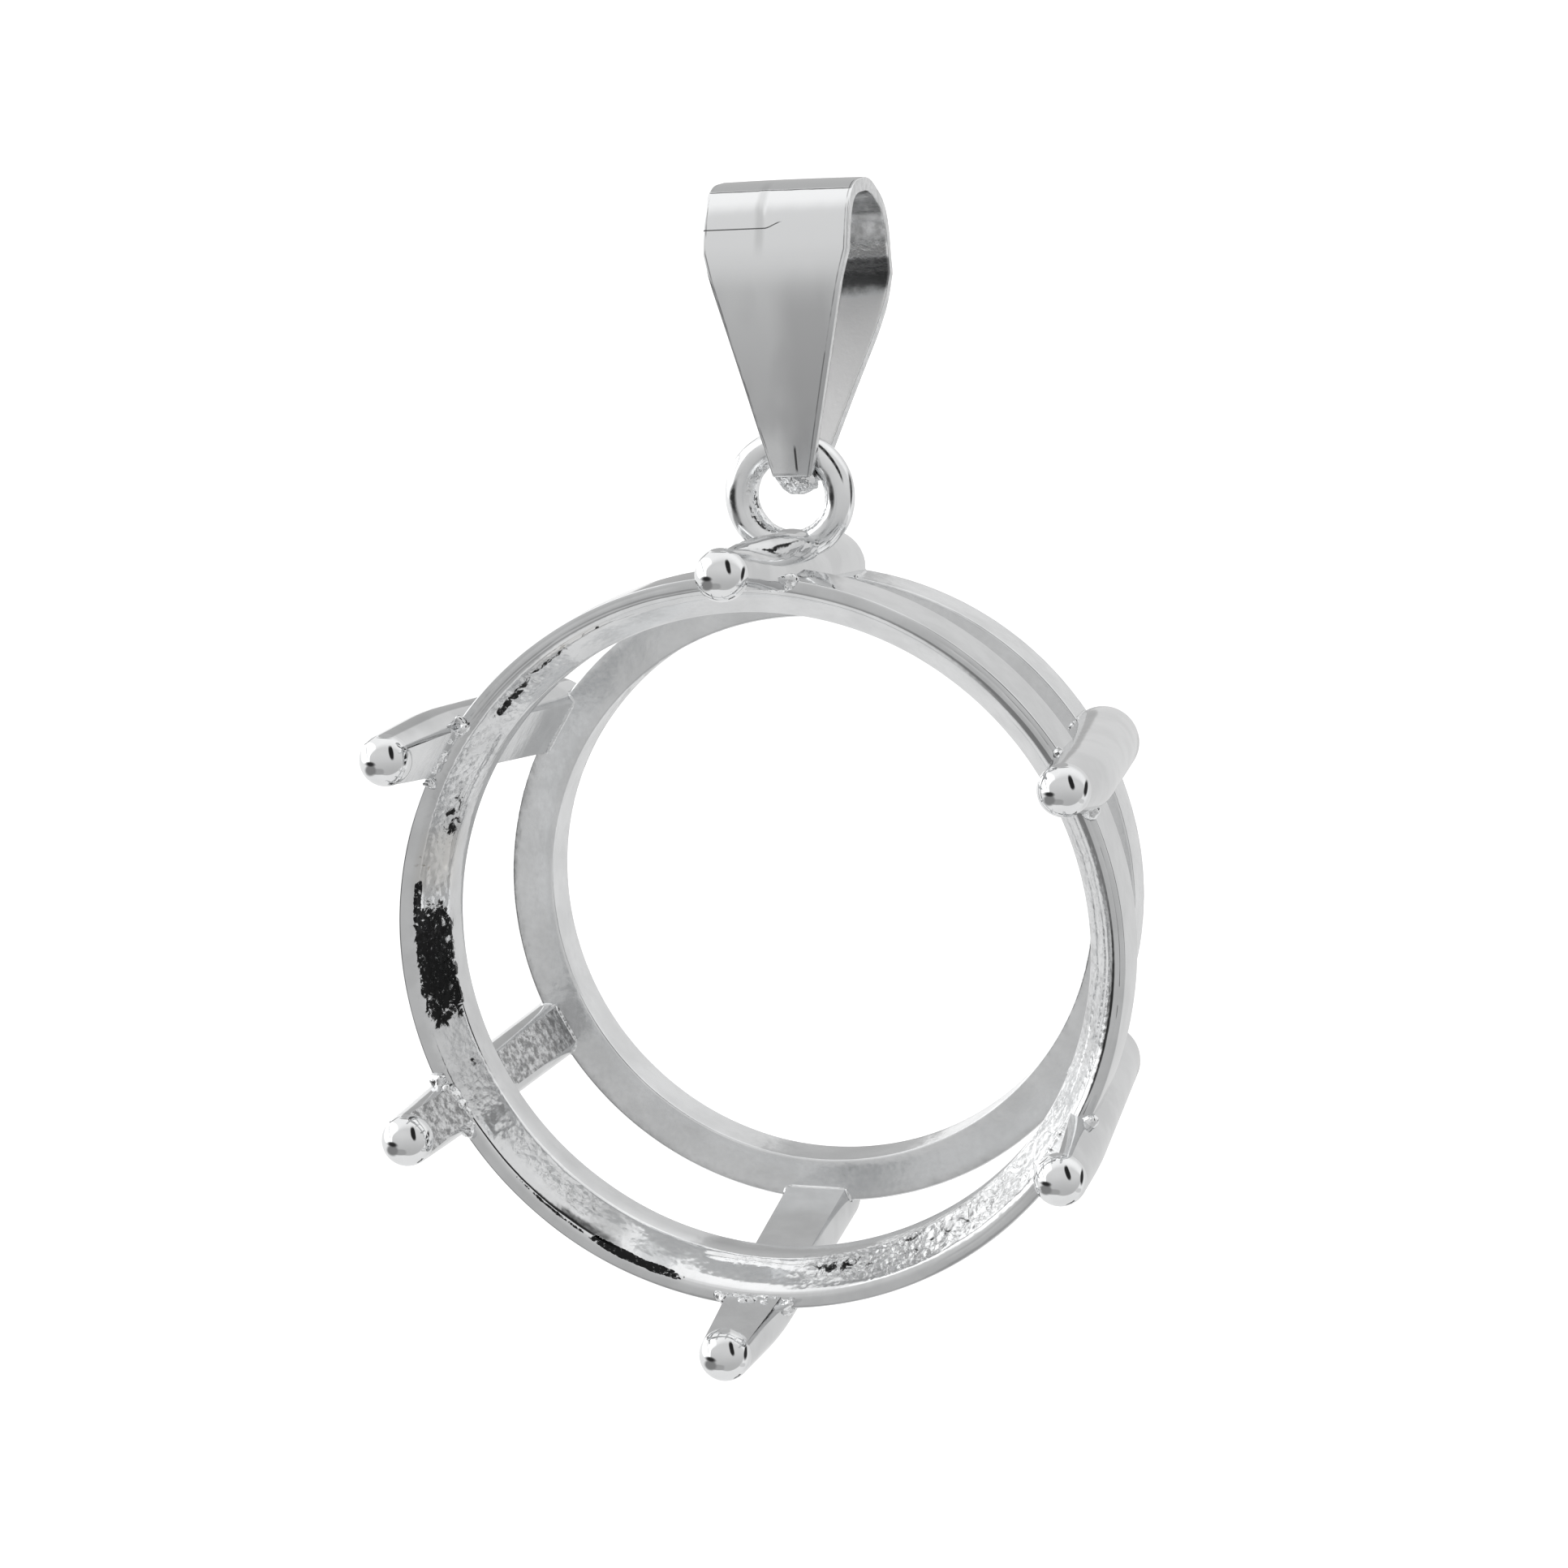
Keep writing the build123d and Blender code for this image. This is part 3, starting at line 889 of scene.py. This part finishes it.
def claw_rod(form, with_ball=True):
    """A claw's rod with its flat and rounded rear end, and with the ball melted on its front end."""
    outwards, sideways = claw_directions(form.angle)
    seat = Matrix((outwards, sideways, Vector((0, 1, 0)))).transposed().to_4x4()
    rows = []
    if with_ball:
        rises = [pi / 2 * (BALL_STEPS - step) / BALL_STEPS for step in range(BALL_STEPS)]
        rows += [partial(ball_spot, rise=rise) for rise in rises]
        rows += [partial(crease_spot, share=step / CREASE_STEPS) for step in range(CREASE_STEPS + 1)]
    else:
        rows.append(partial(rod_spot, depth=-CLAW_REACH))
    rows += [partial(rod_spot, depth=depth) for depth in ROD_DEPTHS]
    for step in range(END_STEPS + 1):
        past = pi / 2 * step / END_STEPS
        depth = CUP_DEPTH - CLAW_END_ROUND * (1 - sin(past))
        radius = claw_section(form, depth)[2] - CLAW_END_ROUND * (1 - cos(past))
        rows.append(partial(rod_spot, depth=depth, radius=radius))
    shape = bmesh.new()
    loops = []
    for number, row in enumerate(rows):
        seat.translation = claw_spot(form, SEAT_OUTER_R, 0, number)
        made = bmesh.ops.create_circle(shape, segments=ROD_POINTS, radius=1.0, matrix=seat)["verts"]
        turns = [atan2((dot.co - seat.translation).dot(sideways), -(dot.co - seat.translation).dot(outwards))
                 for dot in made]
        loops.append((row, made, turns, list({edge for dot in made for edge in dot.link_edges})))
    for first, second in zip(loops, loops[1:]):
        bmesh.ops.bridge_loops(shape, edges=first[3] + second[3])
    for end in (loops[0], loops[-1]):
        bmesh.ops.contextual_create(shape, geom=end[3])
    for row, made, turns, _ in loops:
        for dot, turned in zip(made, turns):
            dot.co = row(form, turned)
    bmesh.ops.recalc_face_normals(shape, faces=shape.faces)
    return shape


def make_claw(form):
    """One claw: the rod, its filed flat and the ball melted on its end."""
    out, aside, _ = claw_section(form, -CLAW_REACH)
    tip = claw_spot(form, out, aside, -CLAW_REACH)
    piece = finish("claw_%d" % form.angle, claw_rod(form), POLISHED, sharp=15)
    piece.data.materials.append(FROSTED if form.angle == 210 else FILED)
    piece.data.materials.append(BALL)
    outwards, _ = claw_directions(form.angle)
    for face in piece.data.polygons:
        middle = face.center / MM
        if middle.y < tip.y + 0.05 or (middle - tip).length < CLAW_BALL_R * 1.002:
            face.material_index = 2
        elif face.normal.dot(outwards) < -0.9:
            face.material_index = 1


# Solder at a claw: how many degrees of the ring it covers each way
JOINT_SPREAD = 9
# Its beads on the claw's flat and at each side of the claw: how many, their sizes and their depths
FLAT_BEADS, FLAT_BEAD_SIZES, FLAT_BEAD_DEPTHS = 16, (0.07, 0.15), (-0.34, 0.02)
SIDE_BEADS, SIDE_BEAD_SIZES, SIDE_BEAD_DEPTHS = 9, (0.08, 0.19), (-0.16, 0.10)


def ring_part(corners, angle):
    """The stretch of a ring that a joint covers, closed at its ends."""
    shape = bmesh.new()
    dots = [shape.verts.new(CUP + Vector((r, depth, 0))) for r, depth, _ in corners]
    shape.faces.new(dots)
    start = Matrix.Rotation(-radians(angle - JOINT_SPREAD), 3, "Y")
    bmesh.ops.rotate(shape, cent=CUP, matrix=start, verts=shape.verts)
    bmesh.ops.spin(shape, geom=shape.faces[:], cent=CUP, axis=(0, 1, 0), dvec=(0, 0, 0),
                   angle=-radians(2 * JOINT_SPREAD), steps=10, use_duplicate=False)
    bmesh.ops.recalc_face_normals(shape, faces=shape.faces)
    return shape


def claw_stretch(form, from_depth, to_depth):
    """The rod between two depths, closed."""
    shape = claw_rod(form, with_ball=False)
    for depth, side in ((from_depth, -1), (to_depth, 1)):
        cut_off(shape, CUP + Vector((0, depth, 0)), Vector((0, side, 0)))
    return shape


def make_joints(form, chance):
    """Solder where a claw passes the seat ring and the rear ring."""
    front = ring_part(SEAT_CORNERS, form.angle)
    add_into(front, claw_stretch(form, -1.0, SEAT_RING_DEPTH + 0.7))
    plain = BVHTree.FromBMesh(front)
    half = form.shoulder_r
    for _ in range(FLAT_BEADS):
        size, aside = chance.uniform(*FLAT_BEAD_SIZES), chance.uniform(-0.75, 0.75) * half + form.aside
        depth = chance.uniform(*FLAT_BEAD_DEPTHS)
        add_bead(front, claw_spot(form, flat_r(form, depth) + 0.03, aside, depth), (size, size, size))
    for side in (-1, 1):
        for _ in range(SIDE_BEADS):
            size, depth = chance.uniform(*SIDE_BEAD_SIZES), chance.uniform(*SIDE_BEAD_DEPTHS)
            aside = side * (half * 0.88 + chance.uniform(-0.08, 0.22)) + form.aside
            out = chance.uniform(SEAT_OUTER_R - 0.32, SEAT_OUTER_R + 0.05)
            add_bead(front, claw_spot(form, out, aside, depth), (size, size, size))
    front = melted(front, size=0.045, smooth_rounds=7, sink=0.010, lump=0.012, seed=form.angle * 0.1,
                   lump_size=0.20, plain=plain)
    finish("solder_front_%d" % form.angle, front, SOLDER)
    rear = ring_part(REAR_CORNERS, form.angle)
    add_into(rear, claw_stretch(form, CUP_DEPTH - REAR_DEPTH - 0.8, CUP_DEPTH + 1))
    plain = BVHTree.FromBMesh(rear)
    rear = melted(rear, size=0.06, smooth_rounds=16, sink=0.004, lump=0.006, seed=form.angle * 0.1 + 5,
                  lump_size=0.26, plain=plain)
    finish("solder_rear_%d" % form.angle, rear, SATIN)


# The stretch of the top claw that the solder covers, and the height below which it covers the jump ring
MOUND_START = -1.9
MOUND_END = 5.4
MOUND_TOP = -1.0
# The mound of solder: depth, distance aside, half sizes and height over the claw's back
MOUND_TURN = radians(-21)
MOUND = (
    (0.70, -0.26, (0.40, 1.90, 0.36), -0.03),
    (2.60, -0.52, (0.46, 0.90, 0.34), -0.04),
    (3.50, -0.34, (0.86, 0.52, 0.36), -0.04),
    (3.60, 0.16, (0.62, 0.46, 0.32), -0.02),
)


def wire_ring(steps=150, rounds=36):
    """The jump ring's wire, bent round."""
    shape = bmesh.new()
    bmesh.ops.create_circle(shape, segments=rounds, radius=JUMP_WIRE_R)
    bmesh.ops.translate(shape, vec=JUMP + Vector((JUMP_MID_R, 0, 0)), verts=shape.verts)
    return spun(shape, steps, JUMP)


def make_jump_ring():
    """The jump ring: polished outside, still rough on its inner side."""
    shape = wire_ring()
    for dot, way in [(d, d.normal.copy()) for d in shape.verts]:
        off = dot.co - JUMP
        inner = max(0.0, (JUMP_MID_R - hypot(off.x, off.z)) / JUMP_WIRE_R)
        left = max(0.0, -off.x / JUMP_MID_R)
        rough = (0.012 * bead_noise(dot.co, 0.22, 4.0) + 0.05 * left) * inner
        dot.co += way * (0.007 * bead_noise(dot.co, 0.8) + rough + 0.03 * left - 0.007)
    piece = finish("jump_ring", shape, WIRE)
    piece.data.materials.append(SOLDER)
    for face in piece.data.polygons:
        off = face.center / MM - JUMP
        edge = JUMP_MID_R - 0.62 * JUMP_WIRE_R + 0.05 * bead_noise(face.center / MM, 0.4, 2.0)
        if hypot(off.x, off.z) < edge:
            face.material_index = 1


def make_jump_solder():
    """The mound of solder that holds the jump ring on the top claw and runs forward along the claw's back."""
    shape = wire_ring(60, 20)
    cut_off(shape, JUMP + Vector((0, 0, MOUND_TOP)), Vector((0, 0, 1)))
    add_into(shape, claw_stretch(TOP_CLAW, MOUND_START, MOUND_END))
    plain = BVHTree.FromBMesh(shape)
    run = Matrix.Rotation(MOUND_TURN, 3, "Z")
    for depth, aside, sizes, lift in MOUND:
        middle = CUP + Vector((-aside, depth, claw_back_r(TOP_CLAW, depth) + lift))
        add_bead(shape, middle, sizes, run)
    shape = melted(shape, size=0.045, smooth_rounds=14, sink=0.006, lump=0.004, seed=3.0, lump_size=0.45,
                   plain=plain)
    finish("jump_ring_solder", shape, POLISHED)


# The bail


def bail_spot(across, front, height):
    """A place given in the bail's own directions."""
    return BAIL_ACROSS * across + BAIL_FRONT * front + BAIL_UP * height


# The strip's lower end, the height of its rows, the steps over its top, its cuts across and its edges' round
BAIL_END = -5.52
STRIP_ROW = 0.13
TOP_STEPS = 64
ACROSS_CUTS = 25
EDGE_ROUND = 0.06
# How it was bent by hand: its plates bow and swerve over a length, its face is crowned, and its top is
# squared from one angle over another
BENT_LENGTH = 5.5
BAIL_BOW = 0.10
BAIL_SWERVE = 0.04
BAIL_CROWN = 0.020
BAIL_SQUARENESS = 0.20
BULGE_START = radians(14)
BULGE_SPREAD = radians(66)
# The back plate is fuller on one side: how much, how far down, and over what height
BACK_FULLNESS = 0.14
FULL_DOWN = 1.2
FULL_SPREAD = 1.5


def strip_line():
    """The middle of the strip's thickness from the side: up from the closure, over the top and down again."""
    top_r, low_r = BAIL_TOP_R - BAIL_STRIP / 2, THROAT_R + BAIL_STRIP / 2
    way = tangent_angle(top_r, low_r, BAIL_DROP) - pi / 2
    upper, slope = (top_r * cos(way), top_r * sin(way)), tan(way)
    length = (upper[1] - BAIL_END) / cos(way)
    rows = round(length / STRIP_ROW)
    side = []
    for row in range(rows):
        height = BAIL_END + (upper[1] - BAIL_END) * row / rows
        side.append((upper[0] - (height - upper[1]) * slope, height))
    top = []
    for step in range(TOP_STEPS + 1):
        way_round = way + (pi - 2 * way) * step / TOP_STEPS
        off_top = abs(way_round - pi / 2)
        square = limited((off_top - BULGE_START) / BULGE_SPREAD)
        reach = top_r + BAIL_SQUARENESS * sin(pi * square) ** 2
        top.append((reach * cos(way_round), reach * sin(way_round)))
    return side + top + [(-front, height) for front, height in side[::-1]]


def strip_half_width(height):
    """Half the strip's width at a height: even above the shoulders, tapering below them."""
    return BAIL_HALF_WIDTH - max(0.0, BAIL_SHOULDER - height) * BAIL_TAPER


def hand_bent(spot):
    """How far a place on the strip moves from the plain folded form."""
    across, front, height = spot.dot(BAIL_ACROSS), spot.dot(BAIL_FRONT), spot.dot(BAIL_UP)
    way = 1 if front > 0 else -1
    down = limited(-height / BENT_LENGTH)
    bow = BAIL_BOW * sin(pi * down)
    crown = -BAIL_CROWN * (across / BAIL_HALF_WIDTH) ** 2
    wave = 0.003 * bead_noise(spot, 1.6, 11.0)
    out = BAIL_FRONT * way if height < 0 else (BAIL_FRONT * front + BAIL_UP * height).normalized()
    swerve = BAIL_SWERVE * sin(pi * down)
    if front < 0:
        swerve += BACK_FULLNESS * (across / BAIL_HALF_WIDTH) * exp(-((height + FULL_DOWN) / FULL_SPREAD) ** 2)
    return out * (bow + crown + wave) + BAIL_ACROSS * swerve


def make_bail():
    """The bail's strip: one sheet bent over, its sides tapered, its edges rounded."""
    shape = bmesh.new()
    dots = [shape.verts.new(bail_spot(-1, front, height)) for front, height in strip_line()]
    for pair in zip(dots, dots[1:]):
        shape.edges.new(pair)
    swept = bmesh.ops.extrude_edge_only(shape, edges=shape.edges[:])
    new = [v for v in swept["geom"] if isinstance(v, bmesh.types.BMVert)]
    bmesh.ops.translate(shape, vec=BAIL_ACROSS * 2, verts=new)
    long_way = [e for e in shape.edges if abs((e.verts[0].co - e.verts[1].co).dot(BAIL_ACROSS)) > 1]
    bmesh.ops.subdivide_edges(shape, edges=long_way, cuts=ACROSS_CUTS, use_grid_fill=True)
    for dot in shape.verts:
        across = dot.co.dot(BAIL_ACROSS)
        dot.co += BAIL_ACROSS * across * (strip_half_width(dot.co.dot(BAIL_UP)) - 1)
    sheet = spare(shape)
    thick = sheet.modifiers.new("thick", "SOLIDIFY")
    thick.thickness, thick.offset, thick.use_even_offset = BAIL_STRIP * 0.97, 0.0, True
    edge = sheet.modifiers.new("edge", "BEVEL")
    edge.width, edge.segments, edge.limit_method, edge.angle_limit = EDGE_ROUND, 3, "ANGLE", radians(50)
    shape = taken(sheet)
    for dot in shape.verts:
        dot.co += hand_bent(dot.co)
    piece = finish("bail_strip", shape, BAIL, "bail", 40)
    piece.data.materials.append(BAIL_INNER)
    piece.data.materials.append(BAIL_EDGE)
    for face in piece.data.polygons:
        middle = face.center / MM
        front, height = middle.dot(BAIL_FRONT), middle.dot(BAIL_UP)
        out = BAIL_FRONT * (1 if front > 0 else -1) if height < 0 else BAIL_FRONT * front + BAIL_UP * height
        if face.normal.dot(out.normalized()) < -0.6:
            face.material_index = 1
        elif abs(face.normal.dot(BAIL_ACROSS)) > 0.8:
            face.material_index = 2


# The jump ring's swing, in steps, and the room that the closure leaves it by being pushed off bit by bit
SWING_LOW = radians(-80)
SWING_HIGH = radians(65)
SWING_STEPS = 24
SWING_CLEARANCE = 0.05
PUSH = 0.01
PUSHES = 40
# The closure's lumps: their middles and half sizes in the bail's own directions
CLOSURE_LUMPS = (
    ((0.02, 0, 0.02), (0.56, 0.42, 0.44)),
    ((-0.12, 0.10, 0.10), (0.50, 0.38, 0.28)),
)
# Its beads: how many, their sizes, how far out they lie each way and their heights
CLOSURE_BEADS = 22
CLOSURE_BEAD_SIZES = (0.06, 0.12)
CLOSURE_BEAD_REACH = (0.50, 0.38)
CLOSURE_BEAD_HEIGHTS = (-0.20, 0.10)


def ring_room(spot):
    """How far a place on the bail is from the jump ring's wire, at its nearest as the ring swings."""
    off = spot - PIVOT
    aside, reach, turned = off.x + BAIL_SIDE_PLAY, hypot(off.y, off.z), atan2(off.y, -off.z)
    nearest = reach
    for step in range(SWING_STEPS + 1):
        away = turned - SWING_LOW - (SWING_HIGH - SWING_LOW) * step / SWING_STEPS
        from_wire = hypot(aside, reach * cos(away) - JUMP_MID_R) - JUMP_MID_R
        nearest = min(nearest, hypot(from_wire, reach * sin(away)) - JUMP_WIRE_R)
    return nearest


def make_closure(chance):
    """The lump of solder that closes the bail below, rounded underneath and beaded where it ran out."""
    turn = Matrix((BAIL_ACROSS, -BAIL_FRONT, BAIL_UP)).transposed()
    low = -BAIL_DROP - CLOSURE_DROP
    shape = bmesh.new()
    for (across, front, up), sizes in CLOSURE_LUMPS:
        add_bead(shape, bail_spot(across, front, low + up), sizes, turn)
    for _ in range(CLOSURE_BEADS):
        size, way = chance.uniform(*CLOSURE_BEAD_SIZES), chance.uniform(0, 2 * pi)
        across, front = CLOSURE_BEAD_REACH[0] * cos(way), CLOSURE_BEAD_REACH[1] * sin(way)
        spot = bail_spot(across, front, low + chance.uniform(*CLOSURE_BEAD_HEIGHTS))
        add_bead(shape, spot, (size, size, size))
    shape = melted(shape, size=0.03, smooth_rounds=5, sink=0.0, lump=0.012, seed=21.0, lump_size=0.16)
    for dot in shape.verts:
        for _ in range(PUSHES):
            if ring_room(dot.co) > SWING_CLEARANCE:
                break
            dot.co += Vector((0, dot.co.y - PIVOT.y, dot.co.z - PIVOT.z)).normalized() * PUSH
    finish("bail_closure", shape, SOLDER, "bail", 60)


POLISHED = polished_silver("polished_silver", PLATED_DIM, PLATED, 0.15)
WIRE = polished_silver("wire_silver", grey(0.82), grey(0.92), 0.26)
BALL = ball_silver()
SATIN = satin_silver()
FILED = filed_silver("filed_silver", 0.0)
FROSTED = filed_silver("frosted_silver", 1.0)
BAIL_EDGE = filed_silver("bail_edge_silver", 0.28)
SOLDER = solder_silver()
CAST = cast_silver()
BAIL = bail_silver()
BAIL_INNER = bail_inner_silver()

make_seat_ring()
make_rear_ring()
for claw in CLAWS:
    make_claw(claw)
    make_joints(claw, random.Random(claw.angle))
make_jump_ring()
make_jump_solder()
make_bail()
make_closure(random.Random(5))


# Light, floor and camera


# The tent as it shows in a mirror ball seen from the camera, right and up from -1 to 1. Its large soft disc
# has a middle and a half size each way. A patch has a middle, half sizes, a turn, a softness, a squareness
# and its light.
DISC_RIGHT = (0.07, 0.64)
DISC_UP = (0.05, 0.62)
PATCHES_UNDER_DISC = (
    ((-0.62, 0.24), (0.28, 0.38), 0, 0.30, 3.0, 1.6),
    ((-0.70, 0.30), (0.015, 0.30), 12, 0.50, 3.0, 0.75),
)
PATCHES_OVER_DISC = (
    ((-0.25, -0.44), (0.22, 0.11), 0, 0.60, 3.0, 0.38),
    ((-0.10, 0.93), (0.30, 0.105), 0, 0.30, 3.0, 0.48),
    ((-0.10, 0.81), (0.30, 0.010), 0, 0.50, 3.0, 0.14),
    ((0.24, 0.27), (0.085, 0.27), 14, 0.50, 2.5, 0.02),
    ((-0.55, -0.38), (0.21, 0.20), -10, 0.55, 2.0, 0.24),
    ((-0.56, -0.15), (0.19, 0.09), -8, 0.80, 2.0, 0.03),
    ((0.77, 0.06), (0.065, 0.27), -8, 0.60, 2.2, 0.03),
    ((0.62, -0.39), (0.10, 0.08), -12, 0.40, 3.0, 0.66),
    ((0.38, -0.84), (0.15, 0.018), 28, 0.5, 3.0, 0.12),
    ((0.44, -0.80), (0.07, 0.014), 55, 0.5, 3.0, 0.12),
    ((-0.66, 0.66), (0.28, 0.014), 42, 0.5, 3.0, 0.30),
)
RIM_LIGHT = 0.74


def world_light():
    """A white light tent, which the camera itself sees as plain white."""
    world = bpy.data.worlds.new("tent")
    bpy.context.scene.world = world
    world.use_nodes = True
    tree = world.node_tree
    tree.nodes.clear()
    way = put(tree, "TexCoord").outputs["Generated"]
    half = put(tree, "VectorMath", {"operation": "ADD"}, i0=way, i1=CAMERA_BACK).outputs[0]
    half = put(tree, "VectorMath", {"operation": "NORMALIZE"}, i0=half).outputs[0]
    right = put(tree, "VectorMath", {"operation": "DOT_PRODUCT"}, i0=half, i1=CAMERA_RIGHT).outputs["Value"]
    up = put(tree, "VectorMath", {"operation": "DOT_PRODUCT"}, i0=half, i1=CAMERA_UP).outputs["Value"]

    def squares(a, b):
        """Both values squared and added."""
        return plus(tree, times(tree, a, a), times(tree, b, b))

    def patch(middle, half_size, turn, soft, power):
        """1 inside a patch of the ball, 0 outside. Its corners are squarer with a higher power."""
        c, s = cos(radians(turn)), sin(radians(turn))
        dx = sums(tree, "SUBTRACT", right, middle[0])
        dy = sums(tree, "SUBTRACT", up, middle[1])
        along = plus(tree, times(tree, dx, c / half_size[0]), times(tree, dy, s / half_size[0]))
        over = plus(tree, times(tree, dy, c / half_size[1]), times(tree, dx, -s / half_size[1]))
        off_sides = [sums(tree, "ABSOLUTE", side) for side in (along, over)]
        size = plus(tree, *[sums(tree, "POWER", side, power) for side in off_sides])
        return ramp(tree, size, 1 - soft, 1 + soft, 1.0, 0.0)

    light = ramp(tree, up, -0.9, 0.9, 0.84, 1.02)
    disc = ramp(tree, up, -0.50, 0.30, 0.50, 0.72)
    off_right, off_up = (times(tree, sums(tree, "SUBTRACT", side, middle), 1 / half_size)
                         for side, (middle, half_size) in ((right, DISC_RIGHT), (up, DISC_UP)))
    blur = ramp(tree, up, 0.10, 0.60, 0.06, 0.80)
    in_disc = ramp(tree, squares(off_right, off_up), sums(tree, "SUBTRACT", 1.0, blur), 1.06, 1.0, 0.0)
    right_side = ramp(tree, plus(tree, right, times(tree, up, 0.4)), 0.20, 0.55)
    rim = times(tree, ramp(tree, squares(right, up), 0.62, 0.86), right_side)
    light = blend_value(tree, rim, light, RIM_LIGHT)
    for *form, value in PATCHES_UNDER_DISC:
        light = blend_value(tree, patch(*form), light, value)
    light = blend_value(tree, in_disc, light, disc)
    for *form, value in PATCHES_OVER_DISC:
        light = blend_value(tree, patch(*form), light, value)
    white = put(tree, "CombineXYZ", None, X=light, Y=light, Z=light).outputs[0]
    tent = put(tree, "Background", None, Color=white, Strength=1.0)
    plain = put(tree, "Background", None, Color=(1, 1, 1, 1), Strength=1.0)
    seen = put(tree, "LightPath").outputs["Is Camera Ray"]
    mixed = put(tree, "MixShader", None, i0=seen, i1=tent.outputs[0], i2=plain.outputs[0])
    put(tree, "OutputWorld", None, Surface=mixed.outputs[0])


FLOOR_HEIGHT = -60.0
FLOOR_HALF = 6000.0


def make_floor():
    """A plain pale floor well below the hanging piece."""
    shape = bmesh.new()
    bmesh.ops.create_grid(shape, x_segments=1, y_segments=1, size=FLOOR_HALF * MM)
    bmesh.ops.translate(shape, vec=(0, 0, FLOOR_HEIGHT * MM), verts=shape.verts)
    mesh = bpy.data.meshes.new("floor")
    shape.to_mesh(mesh)
    shape.free()
    made = bpy.data.materials.new("pale_floor")
    made.use_nodes = True
    shader = made.node_tree.nodes["Principled BSDF"]
    shader.inputs["Base Color"].default_value = (0.92, 0.92, 0.92, 1)
    shader.inputs["Roughness"].default_value = 0.9
    shader.inputs["Specular IOR Level"].default_value = 0.0
    shader.inputs["Emission Color"].default_value = (1, 1, 1, 1)
    shader.inputs["Emission Strength"].default_value = 0.40
    mesh.materials.append(made)
    floor = bpy.data.objects.new("floor", mesh)
    floor.visible_glossy = False
    bpy.context.scene.collection.objects.link(floor)


world_light()
make_floor()

view = bpy.data.cameras.new("camera")
view.sensor_width = 36.0
view.lens = CAMERA_LENS
view.clip_start, view.clip_end = 0.005, 20.0
camera = bpy.data.objects.new("camera", view)
turn = Matrix((CAMERA_RIGHT, CAMERA_UP, CAMERA_BACK)).transposed().to_4x4()
turn.translation = CAMERA_PLACE * MM
camera.matrix_world = turn
bpy.context.scene.collection.objects.link(camera)
bpy.context.scene.camera = camera
bpy.context.scene.view_settings.view_transform = "Standard"
